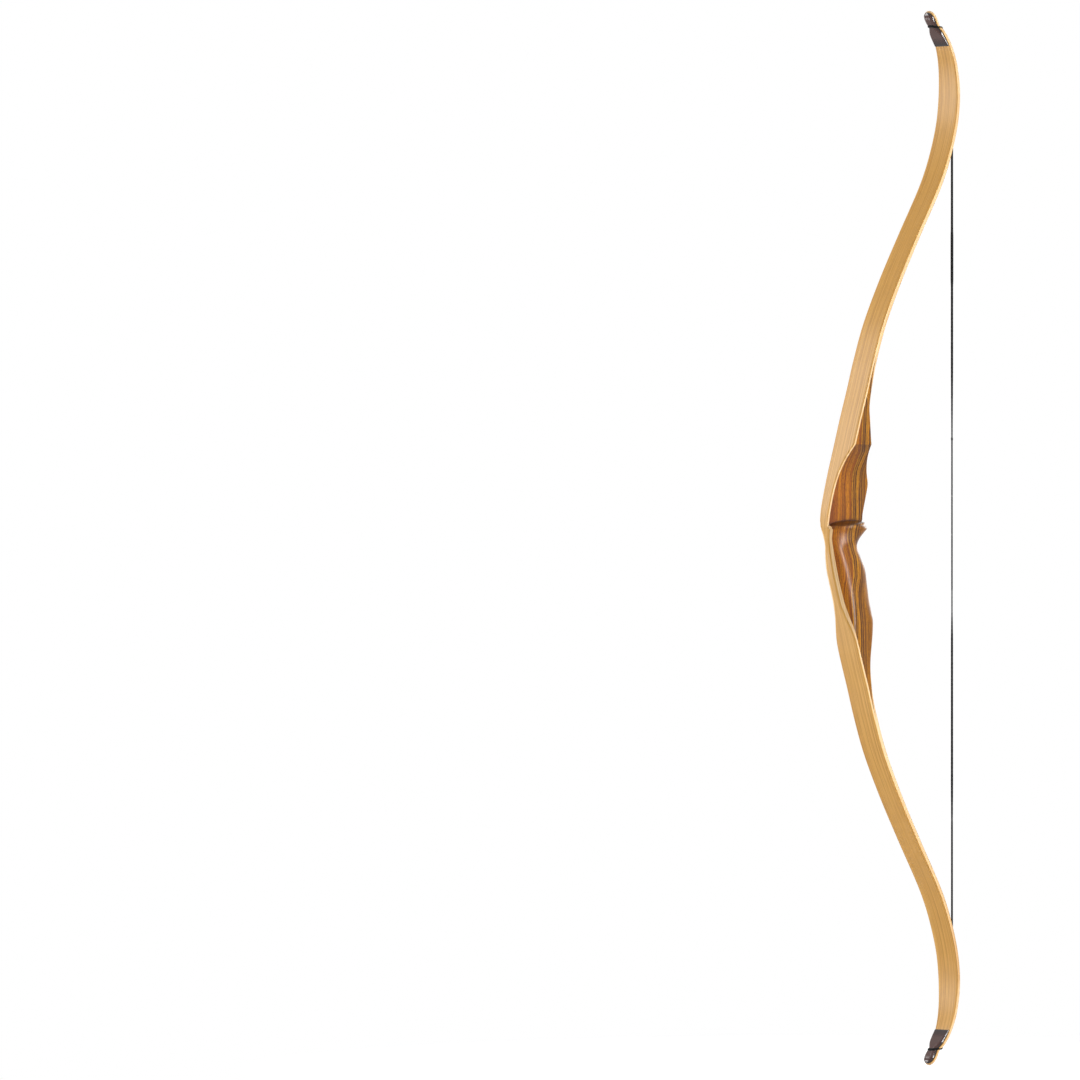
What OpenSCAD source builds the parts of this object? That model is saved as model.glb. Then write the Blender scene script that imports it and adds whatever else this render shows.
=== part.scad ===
// One-piece wooden recurve bow for a right-handed archer, strung and at rest.
// Z points up the bow, -Y points at the target (the back of the bow), +Y at the archer (the belly),
// +X is the side with the sight window. The origin is the throat of the grip, where the hand pushes.
// Both limbs follow one curve, drawn once as a distance from the middle of the bow.

/* [Limbs] */
// Width of the limbs where they leave the handle
limb_w = 38.5; // [36:0.5:40]
// Thickness of each glass-fibre skin
glass_t = 1; // [0.8:0.1:1.2]
// Thickness of the whole limb at the handle
limb_root_t = 7; // [6.6:0.1:7.6]
// Thickness of the whole limb where the recurve starts
limb_mid_t = 5.4; // [5:0.1:5.6]
// Thickness of the whole limb at the tip
limb_tip_t = 3.8; // [3.6:0.1:4.4]
// Thickness of the belly's wood strip at the handle
belly_core_root_t = 2.5; // [2:0.1:2.8]
// Thickness of the belly's wood strip at the tip
belly_core_tip_t = 0.9; // [0.7:0.1:1]

/* [Handle] */
// How far the sight window is cut past the middle of the bow
window_past_middle = 1.5; // [0:0.5:3]
// Height of the window's straight part above the throat
window_straight_top = 75; // [70:1:80]
// Height above the throat where the window runs out in the side of the handle
window_top = 137; // [130:1:142]
// Height of the arrow shelf's crown above the throat
shelf_z = 35; // [34:0.2:36]
// How far the shelf rolls down from its crown to its edge
shelf_roll = 11; // [10:0.5:12]

/* [String] */
// Distance from the throat of the grip to the string
brace_height = 185; // [185:0.5:188]
// Diameter of the served loops and string ends
loop_d = 3; // [2.6:0.1:3.2]
// Diameter of the centre serving
centre_d = 2.2; // [2:0.1:2.6]
// Height of the arrow's nocking point above the throat
nock_z = 42; // [38:1:46]
// Length of serving that the fingers hold
hold_l = 50; // [40:1:60]

/* [Hidden] */

// Height of the middle of the bow above the throat
middle_z = 11.5;
// Distance from the middle of the bow to each tip
tip_d = 711.5;
// Where the wood of the handle feathers out between the limb's strips
fade_end_d = 247;
// Where the belly's wood strip starts on the handle
belly_core_end_d = 200;
// Where the belly's glass skin feathers out on the handle, above and below the throat
upper_glass_end_z = 88;
lower_glass_end_z = -155;
// Least thickness of a feathered end
feather_t = 0.25;
seat_step = 0.3;
// Flex line: where each limb's bending is gathered, with the slit that it turns about
flex_d = 320;
flex_slit = 0.4;

// Back of the strung bow: [distance from the middle, how far it lies towards the archer]
bow_line = [
    [0, -53], [20, -51.5], [45, -46.5], [80, -36], [120, -23.2], [160, -10.8], [200, 2.6],
    [240, 15.4], [290, 34.3], [350, 64.9], [410, 100], [470, 136.6], [500, 151.8], [530, 163.3],
    [560, 172], [585, 176], [610, 177.1], [635, 175.1], [655, 170.7], [672, 163.8],
    [690, 151.8], [715, 135]
];
// Width of the limb at a distance from the middle, as a share of limb_w
limb_taper = [
    [0, 1], [240, 1], [320, 0.98], [400, 0.965], [560, 0.965], [595, 0.955], [615, 0.92],
    [635, 0.85], [650, 0.79], [662, 0.735], [674, 0.69], [685, 0.63], [689, 0.53],
    [692.5, 0.43], [696, 0.45], [700, 0.485], [705, 0.47], [708.5, 0.4], [710.5, 0.28], [711.5, 0.16]
];
// Templates of the handle: [height, extra depth over the limb's, half width,
// front corner on the left, front corner on the right, rear corner]
handle = [
    [262, 0.1, 19.2, 1, 1, 1], [240, 0.5, 19.2, 1, 1, 1], [222, 1.8, 19.2, 1, 1, 1],
    [205, 3.6, 19.2, 1, 1, 1], [188, 7, 19.2, 1, 1, 1], [170, 13.9, 19.2, 1, 1, 1],
    [139, 25.8, 19.2, 1, 1, 1], [120, 35, 19.2, 1, 1, 1], [101, 46.2, 19.2, 1.2, 1, 1.2],
    [84, 56.5, 19.2, 2, 1, 2], [68, 58.5, 19.2, 3, 1, 5], [50, 58.6, 19.2, 4, 2, 8],
    [42, 58.6, 19.2, 5, 12, 14], [36, 59.2, 19.2, 6, 30, 30], [30, 57.8, 18.9, 8, 44, 44],
    [27, 59.4, 18.6, 9, 45, 34], [24, 61.8, 18, 10, 45, 26], [18, 55.3, 16.6, 12.5, 48, 19.5],
    [9, 48.2, 14.6, 15, 42, 21], [0, 45.3, 13, 16.5, 22, 23], [-14, 49.5, 15, 16, 20, 23.5],
    [-30, 53.8, 16.8, 16, 21.5, 26], [-52, 51.5, 17, 16, 22, 26],
    [-72, 48.6, 17, 15.5, 19, 25], [-86, 47, 17.2, 13.5, 15, 20],
    [-98, 43.8, 17.5, 10.5, 11.5, 14.5], [-112, 36.6, 18, 5.5, 5.5, 10.5],
    [-128, 26.8, 19, 2, 2, 6.5], [-144, 17.6, 19.2, 1.2, 1.2, 3], [-160, 10.5, 19.2, 1, 1, 1.5],
    [-176, 5.6, 19.2, 1, 1, 1], [-194, 2.2, 19.2, 1, 1, 1], [-212, 0.4, 19.2, 1, 1, 1],
    [-239, 0.1, 19.2, 1, 1, 1]
];
// Heights at which the handle is cut into rings, closer where it turns fast
handle_rings = concat(
    [for (z = [-235.4 : 10 : -136]) z], [for (z = [-128 : 7 : -16]) z],
    [for (z = [-12 : 3 : 36]) z], [for (z = [42 : 8 : 130]) z], [for (z = [138 : 12 : 252]) z],
    [258.4]);
// Heights where a strip of the belly starts on the handle's wood, with the wood's little step before each
function seats() = [middle_z - belly_core_end_d, lower_glass_end_z, upper_glass_end_z,
    middle_z + belly_core_end_d];
function seated_rings() = sorted(concat(
    [for (z = handle_rings) if (min([for (q = seats()) abs(z - q)]) > 2) z],
    [for (q = seats()) each [q, q - sign(q) * seat_step]]));
// Distances from the middle at which a limb is cut into rings
limb_rings = concat(
    [for (d = [332 : 20 : 512]) d], [for (d = [528 : 12 : 660]) d],
    [667, 673, 680, 685, 689, 692.5, 696, 700, 704, 707.5, 709.8, tip_d]);
// Tip overlay: [distance from the middle, thickness, width of the bevel at each side]
overlay = [
    [667, 0.9, 0.4], [668.5, 1.8, 0.6], [676, 3.3, 1], [685, 4.6, 2.4], [692.5, 5.1, 4],
    [697, 5.2, 4.2], [700, 5.1, 4.3], [705, 4.7, 4], [709, 3.5, 3], [tip_d, 1.8, 1.4]
];
overlay_start_d = overlay[0][0];
overlay_edge_t = 0.7;
// String: radius, gap over the limb, and places on it measured from the middle or the throat
loop_r = loop_d / 2;
string_gap = 0.3;
tail_start_d = 679.3;
contact_d = 612;
joint_gap = 2.6;
// Loop round the tip: [distance from the middle, distance to the side, depth below the back]
loop_path = [
    [681.3, 0, 6], [685.3, 5, 5.8], [688.8, 8.4, 4.6], [690.8, 7.6, 1.8],
    [692.9, 6.4, -1.2], [695.2, 4.6, -4.3], [695.8, 0, -4.9]
];
groove_clearance = 0.22;
// Servings and strands down the string: [height above the throat, diameter]
upper_serving_line = [[430, 3.4], [422, 4], [362, 4], [353, 3.5]];
upper_strand_line = [[353, 3.3], [243, 3.3], [160, 2.1], [147.3, 2]];
lower_strand_line = [[-60.3, 1.9], [-88, 1.9], [-125, 3.1], [-330, 3.2], [-373, 2.4]];
lower_serving_line = [[-373, 2.7], [-600, 2.8]];

wood_dark = [0.62, 0.35, 0.12];
wood_light = [0.87, 0.71, 0.48];
glass_tint = [0.93, 0.79, 0.57];
overlay_brown = [0.3, 0.2, 0.17];
string_black = [0.07, 0.07, 0.08];

// A smooth curve through rows of [place, value, ...], with its places rising or falling
function row_of(rows, x, i = 0) =
    i >= len(rows) - 2 || (rows[1][0] > rows[0][0] ? x < rows[i + 1][0] : x > rows[i + 1][0])
        ? i : row_of(rows, x, i + 1);
function rise(rows, i, c) =
    let (a = max(i - 1, 0), b = min(i + 1, len(rows) - 1))
    (rows[b][c] - rows[a][c]) / (rows[b][0] - rows[a][0]);
function along(rows, x, c = 1) =
    let (i = row_of(rows, x), h = rows[i + 1][0] - rows[i][0], t = (x - rows[i][0]) / h)
    rows[i][c] * (1 + 2 * t) * pow(1 - t, 2) + rows[i + 1][c] * t * t * (3 - 2 * t)
    + rise(rows, i, c) * h * t * pow(1 - t, 2) - rise(rows, i + 1, c) * h * t * t * (1 - t);
// A straight rise from one value to another between two places
function ramp(x, x0, x1, v0 = 0, v1 = 1) = v0 + (v1 - v0) * min(max((x - x0) / (x1 - x0), 0), 1);

// The bow's line at s, the height above its middle
function back_y(s) = abs(s) < 1 ? bow_line[0][1] : along(bow_line, abs(s));
function lean(s) = atan(back_y(abs(s) + 0.5) - back_y(abs(s) - 0.5));
// Rings lie level on the handle and square to the curve on the limbs
function tilt(s) = lean(s) * ramp(abs(s), 150, 260);
// The point at x, t deep below the back, on the ring at s
function at(s, x, t) =
    let (a = tilt(s), k = t / cos(lean(s) - a))
    [x, back_y(s) + k * cos(a), middle_z + s - sign(s) * k * sin(a)];

// Thicknesses, measured square to the back
function limb_t(s) =
    ramp(abs(s), 240, 650, limb_root_t, limb_mid_t) - ramp(abs(s), 650, 690, 0, limb_mid_t - limb_tip_t);
function swell(s) =
    abs(s) > fade_end_d ? 0 : max(0, along(handle, middle_z + s)) * cos(lean(s) - tilt(s));
function full_t(s) = limb_t(s) + swell(s);
function back_core_t(s) = limb_t(s) - 2 * glass_t - belly_core_full_t(s);
function belly_core_full_t(s) = ramp(abs(s), 240, tip_d, belly_core_root_t, belly_core_tip_t);
function back_t(s) = glass_t + back_core_t(s);
function belly_core_t(s) =
    abs(s) < belly_core_end_d ? 0
    : ramp(abs(s), belly_core_end_d, 248, feather_t, belly_core_full_t(s));
function glass_end_s(s) = (s > 0 ? upper_glass_end_z : lower_glass_end_z) - middle_z;
function belly_glass_t(s) =
    (s > 0 ? s < glass_end_s(s) : s > glass_end_s(s)) ? 0
    : ramp(abs(s), abs(glass_end_s(s)), 185, feather_t, glass_t);
function belly_t(s) = belly_core_t(s) + belly_glass_t(s);

// Half width of the section at depth t, on the left or the right
function on_handle(s) = abs(s) < fade_end_d;
function half_w(s) =
    on_handle(s) ? along(handle, middle_z + s, 2) * limb_w / 38.5
    : along(limb_taper, abs(s)) * limb_w / 2;
function corner(s, c) = on_handle(s) ? max(0.8, along(handle, middle_z + s, c)) : 1;
function inset(t, r, w) = t >= r ? 0 : min(r, w) * (1 - sqrt(1 - pow((r - max(t, 0)) / r, 2)));
function side(s, t, c) =
    let (w = half_w(s))
    w - inset(t, corner(s, c), w) - inset(full_t(s) - t, corner(s, 5), w);

// Depth just under the back or the belly at which a rounded section still has some width
function start_t(s, c) = 0.012 * corner(s, c);
// One ring from a list of depths: down the right side and up the left
function ring(s, depths) = concat(
    [for (t = depths) at(s, side(s, t, 4), t)],
    [for (i = [len(depths) - 1 : -1 : 0]) at(s, -side(s, depths[i], 3), depths[i])]);

// Closed skin over a row of rings that run from the bottom up
module skin(rings) {
    n = len(rings[0]);
    last = len(rings) - 1;
    polyhedron(
        points = [for (r = rings) each r],
        faces = concat(
            [[for (j = [0 : n - 1]) j]],
            [for (i = [0 : last - 1], j = [0 : n - 1])
                let (a = i * n + j, b = i * n + (j + 1) % n)
                each [[a, a + n, b + n], [a, b + n, b]]],
            [[for (j = [n - 1 : -1 : 0]) last * n + j]]),
        convexity = 8);
}

// Places of a limb's rings between two distances, with a ring at both ends
function places(d0, d1) = concat([d0], [for (d = limb_rings) if (d > d0 && d < d1) d], [d1]);
// One strip of a limb between two depths. up is 1 for the upper limb and -1 for the lower
module strip(up, d0, d1, depths) {
    d = places(d0, d1);
    order = up > 0 ? [0 : len(d) - 1] : [len(d) - 1 : -1 : 0];
    skin([for (i = order) let (s = up * d[i]) ring(s, depths_at(s, depths))]);
}
// Depths of each strip's faces at s
function depths_at(s, name) =
    let (t = full_t(s), g = glass_t, c = back_t(s), bg = belly_glass_t(s), b = belly_t(s))
    name == "back_glass" ? [start_t(s, 4), (start_t(s, 4) + g) / 2, g]
    : name == "back_core" ? [g, (g + c) / 2, c]
    : name == "belly_core" ? [t - b, t - bg]
    : [t - bg, t];

// Sight window: a flat cut past the middle that runs out in the side in one arc, over a crowned shelf
module sight_window_cut() {
    out = limb_w;
    reach = limb_w / 2 + window_past_middle;
    rise_z = window_top - window_straight_top;
    arc_r = (reach * reach + rise_z * rise_z) / (2 * reach);
    deep = 140;
    difference() {
        translate([-window_past_middle, -deep / 2 - 10, shelf_z - shelf_roll - 1])
            cube([out, deep, window_straight_top - shelf_z + shelf_roll + 1]);
        arrow_shelf();
    }
    intersection() {
        translate([arc_r - window_past_middle, -10, window_straight_top])
            rotate([90, 0, 0]) cylinder(r = arc_r, h = deep, center = true, $fn = 180);
        translate([-window_past_middle - 1, -deep / 2 - 10, window_straight_top - 1])
            cube([out, deep, arc_r]);
    }
}
// The arrow shelf's crown, rounded both ways so that the arrow touches it at one place
module arrow_shelf() {
    centre = [-6, -4];
    reach = 29;
    function along_bow(a) = sin(a) > 0 ? 36 : 49;
    around = 36;
    steps = 7;
    level = [for (k = [0 : steps]) 90 * k / steps];
    skin(concat(
        [[for (j = [0 : around - 1])
            let (a = 360 * j / around)
            [centre[0] + reach * cos(a), centre[1] + along_bow(a) * sin(a),
             shelf_z - shelf_roll - 10]]],
        [for (k = [0 : steps - 1]) [for (j = [0 : around - 1])
            let (a = 360 * j / around)
            [centre[0] + reach * cos(level[k]) * cos(a),
             centre[1] + along_bow(a) * cos(level[k]) * sin(a),
             shelf_z - shelf_roll * (1 - sin(level[k]))]]],
        [[for (j = [0 : around - 1])
            [centre[0] + 0.8 * cos(360 * j / around), centre[1] + 1.6 * sin(360 * j / around),
             shelf_z]]]));
}

// The wood of the handle between the strips: depths that follow the round of its corners
function riser_depths(s) =
    let (f0 = back_t(s), r0 = max(belly_t(s), start_t(s, 5)), wood = full_t(s) - f0 - r0,
         f1 = min(max(max(corner(s, 3), corner(s, 4)) - f0, 0.2 * wood), 0.55 * wood),
         r1 = min(max(corner(s, 5) - r0, 0.1 * wood), 0.35 * wood))
    concat(
        [for (u = [0, 0.08, 0.25, 0.55, 1]) f0 + f1 * u],
        [f0 + (f1 + wood - r1) / 2],
        [for (a = [0, 20, 40, 60, 78, 90]) f0 + wood - r1 * (1 - sin(a))]);
module riser() {
    color(wood_dark) difference() {
        skin([for (z = seated_rings()) let (s = z - middle_z) ring(s, riser_depths(s))]);
        sight_window_cut();
    }
}
function sorted(v) = len(v) <= 1 ? v
    : let (p = v[floor(len(v) / 2)])
    concat(sorted([for (x = v) if (x < p) x]), [for (x = v) if (x == p) x],
        sorted([for (x = v) if (x > p) x]));

// The strips that run across the back of the handle, between the two flex lines
root_d = flex_d - flex_slit / 2;
limb_d = flex_d + flex_slit / 2;
function through_rings() = concat(
    [for (d = [root_d, 300, 280, 264]) -d], [for (z = seated_rings()) z - middle_z],
    [264, 280, 300, root_d]);
module through_strip(name) {
    skin([for (s = through_rings()) ring(s, depths_at(s, name))]);
}
module handle_back_core() {
    color(wood_light) difference() {
        through_strip("back_core");
        sight_window_cut();
    }
}
module handle_back_glass() {
    color(glass_tint) difference() {
        through_strip("back_glass");
        sight_window_cut();
    }
}

// The belly's strips where they lie on the handle, from where they feather out to the flex line
function fade_rings(up, d0) =
    concat([for (z = seated_rings()) let (d = up * (z - middle_z)) if (d >= d0) d],
        [264, 280, 300, root_d]);
module fade_strip(up, d0, name) {
    heights = sorted([for (d = fade_rings(up, d0)) up * d]);
    skin([for (s = heights) ring(s, depths_at(s, name))]);
}
module upper_fade_belly_core() color(wood_light) fade_strip(1, belly_core_end_d, "belly_core");
module lower_fade_belly_core() color(wood_light) fade_strip(-1, belly_core_end_d, "belly_core");
module upper_fade_belly_glass() {
    color(glass_tint) difference() {
        fade_strip(1, upper_glass_end_z - middle_z, "belly_glass");
        sight_window_cut();
    }
}
module lower_fade_belly_glass()
    color(glass_tint) fade_strip(-1, middle_z - lower_glass_end_z, "belly_glass");

// One strip of the moving part of a limb, with the notches for the string's loop in its edges
module limb_strip(up, name) {
    difference() {
        strip(up, limb_d, tip_d, name);
        string_loop(up, loop_r + groove_clearance);
    }
}
module upper_back_core() color(wood_light) limb_strip(1, "back_core");
module upper_back_glass() color(glass_tint) limb_strip(1, "back_glass");
module upper_belly_core() color(wood_light) limb_strip(1, "belly_core");
module upper_belly_glass() color(glass_tint) limb_strip(1, "belly_glass");
module lower_back_core() color(wood_light) limb_strip(-1, "back_core");
module lower_back_glass() color(glass_tint) limb_strip(-1, "back_glass");
module lower_belly_core() color(wood_light) limb_strip(-1, "belly_core");
module lower_belly_glass() color(glass_tint) limb_strip(-1, "belly_glass");

// Hard dark overlay on the back of each tip, bevelled, with a groove across it for the loop
module tip_overlay(up) {
    d = [for (v = places(overlay_start_d, tip_d)) v];
    order = up > 0 ? [0 : len(d) - 1] : [len(d) - 1 : -1 : 0];
    difference() {
        skin([for (i = order)
            let (s = up * d[i], w = side(s, start_t(s, 4), 4), o = along(overlay, d[i]),
                 b = min(along(overlay, d[i], 2), w - 0.4), e = min(overlay_edge_t, o / 2))
            [at(s, w - b, -o), at(s, w, -e), at(s, w, start_t(s, 4)),
             at(s, -w, start_t(s, 4)), at(s, -w, -e), at(s, b - w, -o)]]);
        string_loop(up, loop_r + groove_clearance);
    }
}
module upper_tip_overlay() color(overlay_brown) tip_overlay(1);
module lower_tip_overlay() color(overlay_brown) tip_overlay(-1);

// A round tube along a list of points
function unit(v) = v / norm(v);
function heading(p, i, closed) =
    let (n = len(p))
    closed ? unit(p[(i + 1) % n] - p[(i + n - 1) % n])
    : unit(p[min(i + 1, n - 1)] - p[max(i - 1, 0)]);
function tube_ring(p, i, r, sides, side_axis, closed) =
    let (t = heading(p, i, closed), u = unit(side_axis - t * (side_axis * t)), v = cross(t, u))
    [for (k = [0 : sides - 1]) p[i] + r * (u * cos(360 * k / sides) + v * sin(360 * k / sides))];

// The loop's path round the tip, one half mirrored, and closed at the tail
function loop_point(up, q, mirror_x) =
    at(up * q[0], mirror_x * q[1], q[2]);
function loop_knots(up) = concat(
    [for (q = loop_path) loop_point(up, q, 1)],
    [for (i = [len(loop_path) - 2 : -1 : 1]) loop_point(up, loop_path[i], -1)]);
function smooth(p, i, t) =
    let (n = len(p), a = p[(i + n - 1) % n], b = p[i], c = p[(i + 1) % n], e = p[(i + 2) % n])
    b + 0.5 * t * (c - a + t * (2 * a - 5 * b + 4 * c - e + t * (3 * (b - c) + e - a)));
loop_steps = 3;
loop_sides = 8;
module string_loop(up, r) {
    k = loop_knots(up);
    p = [for (i = [0 : len(k) - 1], j = [0 : loop_steps - 1]) smooth(k, i, j / loop_steps)];
    n = len(p);
    middle = at(up * 688, 0, 1);
    rings = [for (i = [0 : n - 1])
        let (t = heading(p, i, true), away = p[i] - middle)
        tube_ring(p, i, r, loop_sides, away, true)];
    polyhedron(
        points = [for (q = rings) each q],
        faces = [for (i = [0 : n - 1], j = [0 : loop_sides - 1])
            let (m = loop_sides, a = i * m + j, b = i * m + (j + 1) % m,
                 c = ((i + 1) % n) * m + (j + 1) % m, e = ((i + 1) % n) * m + j)
            each [[a, e, c], [a, c, b]]],
        convexity = 8);
}
module upper_string_loop() color(string_black) string_loop(1, loop_r);
module lower_string_loop() color(string_black) string_loop(-1, loop_r);

// The served tail of the loop, lying down the middle of the recurve until the limb falls away
module loop_tail(up) {
    count = 10;
    sides = 8;
    d = [for (i = [0 : count]) ramp(i, 0, count, tail_start_d, contact_d)];
    p = [for (v = d)
        let (q = at(up * v, 0, limb_t(v) + loop_r + string_gap))
        [0, min(q[1], brace_height), q[2]]];
    order = up > 0 ? [len(p) - 1 : -1 : 0] : [0 : len(p) - 1];
    line = [for (i = order) p[i]];
    skin([for (i = [0 : len(line) - 1]) tube_ring(line, i, loop_r, sides, [1, 0, 0], false)]);
}
module upper_loop_tail() color(string_black) loop_tail(1);
module lower_loop_tail() color(string_black) loop_tail(-1);

// A straight stretch of string, turned from rows of [height, diameter]
module turned(rows) {
    translate([0, brace_height, 0]) rotate_extrude($fn = 24)
        polygon(concat([[0, rows[0][0]]], [for (q = rows) [q[1] / 2, q[0]]],
            [[0, rows[len(rows) - 1][0]]]));
}
run_start_z = at(contact_d, 0, limb_t(contact_d) + loop_r)[2] - 0.3;
run_end_z = at(-contact_d, 0, limb_t(contact_d) + loop_r)[2] + 0.3;
module upper_end_serving()
    color(string_black) turned(concat([[run_start_z, loop_d]], upper_serving_line));
module lower_end_serving()
    color(string_black) turned(concat(lower_serving_line, [[run_end_z, loop_d]]));
module upper_strands() color(string_black) turned(upper_strand_line);
module lower_strands() color(string_black) turned(lower_strand_line);
// Centre serving in three parts: the middle one is what the fingers hold
module upper_centre_serving() {
    top = upper_strand_line[len(upper_strand_line) - 1][0];
    color(string_black) turned([[top, 2.4], [top - 2, 2.7], [top - 4, centre_d],
        [nock_z + hold_l / 2 + joint_gap, centre_d]]);
}
module nocking_serving() {
    color(string_black)
        turned([[nock_z + hold_l / 2, centre_d], [nock_z - hold_l / 2, centre_d]]);
}
module lower_centre_serving() {
    color(string_black)
        turned([[nock_z - hold_l / 2 - joint_gap, centre_d], [lower_strand_line[0][0], centre_d]]);
}

riser();
handle_back_core();
handle_back_glass();
upper_fade_belly_core();
upper_fade_belly_glass();
lower_fade_belly_core();
lower_fade_belly_glass();
upper_back_core();
upper_back_glass();
upper_belly_core();
upper_belly_glass();
lower_back_core();
lower_back_glass();
lower_belly_core();
lower_belly_glass();
upper_tip_overlay();
lower_tip_overlay();
upper_string_loop();
lower_string_loop();
upper_loop_tail();
lower_loop_tail();
upper_end_serving();
lower_end_serving();
upper_strands();
lower_strands();
upper_centre_serving();
nocking_serving();
lower_centre_serving();
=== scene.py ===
# One-piece laminated recurve bow, strung and at rest, standing upright.
# Metres; +Z up the bow, -Y towards the target (its back), +Y towards the archer, +X the window side.
import math
import bpy
import bmesh
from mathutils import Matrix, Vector


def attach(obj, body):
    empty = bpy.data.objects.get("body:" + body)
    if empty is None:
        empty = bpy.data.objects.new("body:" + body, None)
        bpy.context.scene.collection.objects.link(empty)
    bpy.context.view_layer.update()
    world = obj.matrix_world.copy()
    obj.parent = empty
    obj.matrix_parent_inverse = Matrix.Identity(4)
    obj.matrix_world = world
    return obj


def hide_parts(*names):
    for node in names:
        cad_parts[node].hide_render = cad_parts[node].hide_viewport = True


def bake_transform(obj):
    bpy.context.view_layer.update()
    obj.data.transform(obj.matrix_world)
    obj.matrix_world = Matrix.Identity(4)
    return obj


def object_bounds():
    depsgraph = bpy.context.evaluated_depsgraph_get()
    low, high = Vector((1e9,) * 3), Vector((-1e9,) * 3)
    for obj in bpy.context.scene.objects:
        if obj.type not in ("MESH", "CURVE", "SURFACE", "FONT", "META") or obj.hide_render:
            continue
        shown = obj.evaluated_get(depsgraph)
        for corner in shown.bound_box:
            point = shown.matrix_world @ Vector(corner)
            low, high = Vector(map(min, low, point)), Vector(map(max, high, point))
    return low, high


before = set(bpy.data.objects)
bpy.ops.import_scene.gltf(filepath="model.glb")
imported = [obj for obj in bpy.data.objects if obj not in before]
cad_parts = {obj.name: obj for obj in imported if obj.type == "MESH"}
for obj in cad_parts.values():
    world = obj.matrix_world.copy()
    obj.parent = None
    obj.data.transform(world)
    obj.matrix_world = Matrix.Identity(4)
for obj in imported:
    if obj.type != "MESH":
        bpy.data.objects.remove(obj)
cad_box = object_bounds()

# ---- Handle ----
# The riser is one block of striped dark hardwood, sawn to the side template with the sight window,
# then rasped round at the grip and thumb ledge. It is glued between the limbs' strips and its ends
# feather out between them. Shapes are in millimetres on the bow's own line, as on the drawing.
MIDDLE_Z = 11.5   # height of the bow's middle, from which distances along the bow are taken
TIP_D, HANDLE_END_D = 711.5, 247
LIMB_WIDTH, GLASS_THICK = 38.5, 1.0
BOW_LINE = [  # distance from the middle, y of the bow's back
    (0, -53), (20, -51.5), (45, -46.5), (80, -36), (120, -23.2), (160, -10.8), (200, 2.6),
    (240, 15.4), (290, 34.3), (350, 64.9), (410, 100), (470, 136.6), (500, 151.8), (530, 163.3),
    (560, 172), (585, 176), (610, 177.1), (635, 175.1), (655, 170.7), (672, 163.8),
    (690, 151.8), (715, 135)]
LIMB_TAPER = [  # distance from the middle, share of the limb's full width
    (0, 1), (240, 1), (320, .98), (400, .965), (560, .965), (595, .955), (615, .92), (635, .85),
    (650, .79), (662, .735), (674, .69), (685, .63), (689, .53), (692.5, .43), (696, .45),
    (700, .485), (705, .47), (708.5, .4), (710.5, .28), (711.5, .16)]
LEFT, RIGHT, REAR = 3, 4, 5   # the corners' places in a row of HANDLE
HANDLE = [  # height, extra depth, half width, front corner left, front corner right, rear corner
    (-239, .1, 19.2, 1, 1, 1), (-212, .4, 19.2, 1, 1, 1), (-194, 2.2, 19.2, 1, 1, 1),
    (-176, 5.6, 19.2, 1, 1, 1), (-160, 10.5, 19.2, 1, 1, 1.5), (-144, 17.6, 19.2, 1.2, 1.2, 3),
    (-128, 26.8, 19, 2, 2, 6.5), (-112, 36.6, 18, 5.5, 5.5, 10.5),
    (-98, 43.8, 17.5, 10.5, 11.5, 14.5), (-86, 47, 17.2, 13.5, 15, 20),
    (-72, 48.6, 17, 15.5, 19, 25), (-52, 51.5, 17, 16, 22, 26), (-30, 53.8, 16.8, 16, 21.5, 26),
    (-14, 49.5, 15, 16, 20, 23.5), (0, 45.3, 13, 16.5, 22, 23), (9, 48.2, 14.6, 15, 42, 21),
    (18, 55.3, 16.6, 12.5, 48, 19.5), (23.6, 61.3, 18, 10, 46, 22), (24.7, 62, 18.3, 10, 45, 21),
    (26, 60.8, 18.6, 9, 45, 26), (30, 57.8, 18.9, 8, 44, 40), (36, 59.2, 19.2, 6, 30, 30),
    (42, 58.6, 19.2, 5, 12, 14), (50, 58.6, 19.2, 4, 2, 8), (68, 58.5, 19.2, 3, 1, 5),
    (84, 56.5, 19.2, 2, 1, 2), (101, 46.2, 19.2, 1.2, 1, 1.2),
    (120, 35, 19.2, 1, 1, 1), (139, 25.8, 19.2, 1, 1, 1), (170, 13.9, 19.2, 1, 1, 1),
    (188, 7, 19.2, 1, 1, 1), (205, 3.6, 19.2, 1, 1, 1), (222, 1.8, 19.2, 1, 1, 1),
    (240, .5, 19.2, 1, 1, 1), (262, .1, 19.2, 1, 1, 1)]
SECTION_TURN = (150, 260)   # over this stretch the sections turn from level to square on the limb
LIMB_THICK = (240, 650, 7, 5.4)   # from, to, thickness at each
TIP_THINNED = (650, 690, 0, 1.6)   # from, to, how much is taken off at each
CORE_THICK = (240, TIP_D, 2.5, .9)   # from, to, the belly core's thickness at each
CORE_START_D, CORE_WHOLE_D, GLASS_WHOLE_D, FEATHER_THICK = 200, 248, 185, .25   # on the belly
UPPER_GLASS_START, LOWER_GLASS_START = 88, -155   # heights of the belly glass's feathered ends
SMALLEST_CORNER, LIMB_CORNER = .8, 1
BARE_WOOD_SHORT = .01   # how far the riser's last points stop short where no belly strip covers it
WALL_X, WINDOW_STRAIGHT_TOP, WINDOW_TOP = -1.5, 75, 137
SHELF_Z, SHELF_ROLL, SHELF_MIDDLE = 35, 11, (-6, -4)
SHELF_SIDE_REACH, SHELF_FRONT_REACH, SHELF_REAR_REACH = 28, 49, 33
EASED_EDGE, SHELF_LIP_ROUND, WALL_LIP_ROUND = 1.1, .8, .7


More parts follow.
